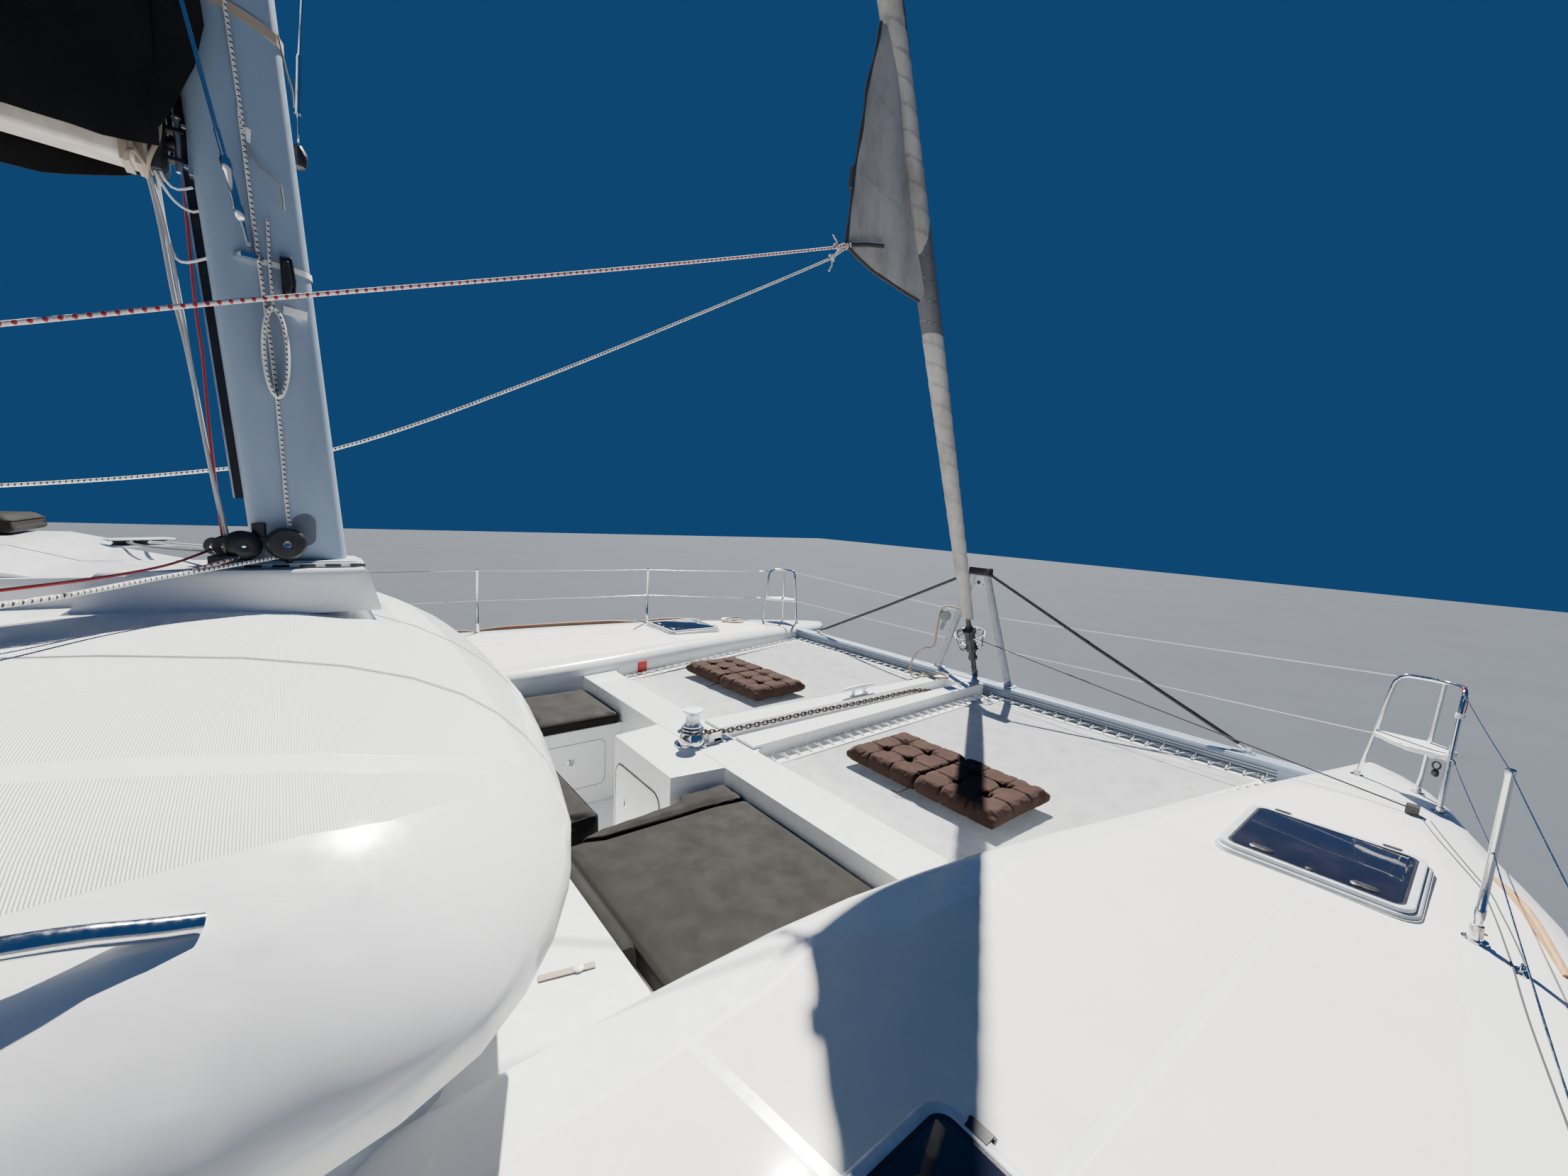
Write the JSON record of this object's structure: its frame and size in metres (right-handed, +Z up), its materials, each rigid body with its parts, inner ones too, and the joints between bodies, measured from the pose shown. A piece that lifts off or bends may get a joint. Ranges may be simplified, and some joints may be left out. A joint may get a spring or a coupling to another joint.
{
  "type": "sailing catamaran",
  "caption": "Cruising sailing catamaran with forward cockpit, net trampolines, coachroof, flybridge, raked mast, furled headsail and bagged mainsail.",
  "frame": {"origin": "on the waterline, amidships on the centreline", "axes": "+X to starboard, +Y to the bows, +Z up"},
  "size_m": [7.8742, 13.96, 21.95],
  "materials": {
    "alloy": "painted or anodised alloy",
    "black": "black moulded plastic with steel cage",
    "bronze": "cast bronze",
    "canvas": "charcoal acrylic canvas",
    "chain": "rusty galvanised steel",
    "cotton": "brown woven cotton",
    "gelcoat": "glossy white gelcoat over glass-fibre laminate",
    "net": "white knotless netting",
    "sailcloth": "weathered sailcloth",
    "steel": "polished stainless steel",
    "tinted": "dark tinted acrylic",
    "vinyl": "charcoal upholstery vinyl"
  },
  "bodies": {
    "boat": {"hull_starboard": "gelcoat", "hull_port": "gelcoat", "keel_starboard": "gelcoat", "keel_port": "gelcoat", "saildrive_starboard": "alloy", "saildrive_port": "alloy", "bridgedeck": "gelcoat", "foredeck_rim": "gelcoat", "seat_base_port": "gelcoat", "seat_base_starboard": "gelcoat", "seat_pad_port": "vinyl", "sun_pad_starboard": "vinyl", "seat_pad_centre": "vinyl", "backrest_starboard": "vinyl", "crossbeam": "alloy", "centre_beam": "gelcoat", "striker": "alloy", "net_starboard": "net", "net_port": "net", "net_cushion_starboard": "cotton", "net_cushion_port": "cotton", "windlass_base": "steel", "pulpit_starboard": "steel", "pulpit_port": "steel", "guardrail_starboard": "steel", "guardrail_port": "steel", "cabin_roof": "gelcoat", "deckhouse": "gelcoat", "window_front": "tinted", "window_starboard": "tinted", "window_port": "tinted", "aft_bulkhead": "gelcoat", "flybridge_coaming": "gelcoat", "cockpit_seat": "gelcoat", "cockpit_table": "gelcoat", "flybridge_pad": "vinyl", "flybridge_seat": "gelcoat", "roof_rail_starboard": "steel", "roof_rail_port": "steel", "anchor_chain": "chain", "mast": "alloy", "shroud_starboard": "steel", "shroud_port": "steel", "genoa": "sailcloth", "furling_drum": "black"},
    "rudder_starboard": {"rudder_starboard": "gelcoat"},
    "rudder_port": {"rudder_port": "gelcoat"},
    "propeller_starboard": {"propeller_starboard": "bronze"},
    "propeller_port": {"propeller_port": "bronze"},
    "helm_wheel": {"helm_wheel": "steel"},
    "windlass_drum": {"windlass_drum": "steel"},
    "saloon_door": {"saloon_door": "tinted"},
    "boom": {"boom": "alloy", "sail_bag": "canvas"},
    "hatch_fore_starboard": {"hatch_fore_starboard": "tinted"},
    "hatch_fore_port": {"hatch_fore_port": "tinted"},
    "hatch_mid_starboard": {"hatch_mid_starboard": "tinted"},
    "hatch_mid_port": {"hatch_mid_port": "tinted"}
  },
  "joints": [
    {"name": "boom_swing", "type": "hinge", "parent": "boat", "child": "boom", "pos_m": [0, 0.935, 4.56], "axis": [0, -0.0754, 0.9972], "range_deg": [-60, 60]},
    {"name": "helm_turn", "type": "hinge", "parent": "boat", "child": "helm_wheel", "pos_m": [0.8, -1.117, 3.3], "axis": [0, 1, 0], "range_deg": [-540, 540]},
    {"name": "rudder_starboard_turn", "type": "hinge", "parent": "boat", "child": "rudder_starboard", "pos_m": [3.06, -5.9, -0.4], "axis": [0, 0, 1], "range_deg": [-35, 35]},
    {"name": "propeller_starboard_spin", "type": "hinge", "parent": "boat", "child": "propeller_starboard", "pos_m": [3.06, -4.9, -0.8], "axis": [0, 1, 0], "continuous": true},
    {"name": "hatch_fore_starboard_lid", "type": "hinge", "parent": "boat", "child": "hatch_fore_starboard", "pos_m": [2.89, 5.125, 1.977], "axis": [-1, 0, 0], "range_deg": [0, 95]},
    {"name": "hatch_mid_starboard_lid", "type": "hinge", "parent": "boat", "child": "hatch_mid_starboard", "pos_m": [2.87, 2.395, 1.991], "axis": [-1, 0, 0], "range_deg": [0, 95]},
    {"name": "rudder_port_turn", "type": "hinge", "parent": "boat", "child": "rudder_port", "pos_m": [-3.06, -5.9, -0.4], "axis": [0, 0, 1], "range_deg": [-35, 35]},
    {"name": "propeller_port_spin", "type": "hinge", "parent": "boat", "child": "propeller_port", "pos_m": [-3.06, -4.9, -0.8], "axis": [0, 1, 0], "continuous": true},
    {"name": "hatch_fore_port_lid", "type": "hinge", "parent": "boat", "child": "hatch_fore_port", "pos_m": [-2.89, 5.125, 1.977], "axis": [-1, 0, 0], "range_deg": [0, 95]},
    {"name": "hatch_mid_port_lid", "type": "hinge", "parent": "boat", "child": "hatch_mid_port", "pos_m": [-2.87, 2.395, 1.991], "axis": [-1, 0, 0], "range_deg": [0, 95]},
    {"name": "windlass_spin", "type": "hinge", "parent": "boat", "child": "windlass_drum", "pos_m": [0, 3.225, 2], "axis": [0, 0, 1], "continuous": true},
    {"name": "saloon_door_slide", "type": "slide", "parent": "boat", "child": "saloon_door", "axis": [1, 0, 0], "range_m": [0, 0.72]}
  ],
  "couplings": [
    {"joint": "rudder_starboard_turn", "follows": "helm_turn", "ratio": 0.064815},
    {"joint": "rudder_port_turn", "follows": "helm_turn", "ratio": 0.064815}
  ]
}
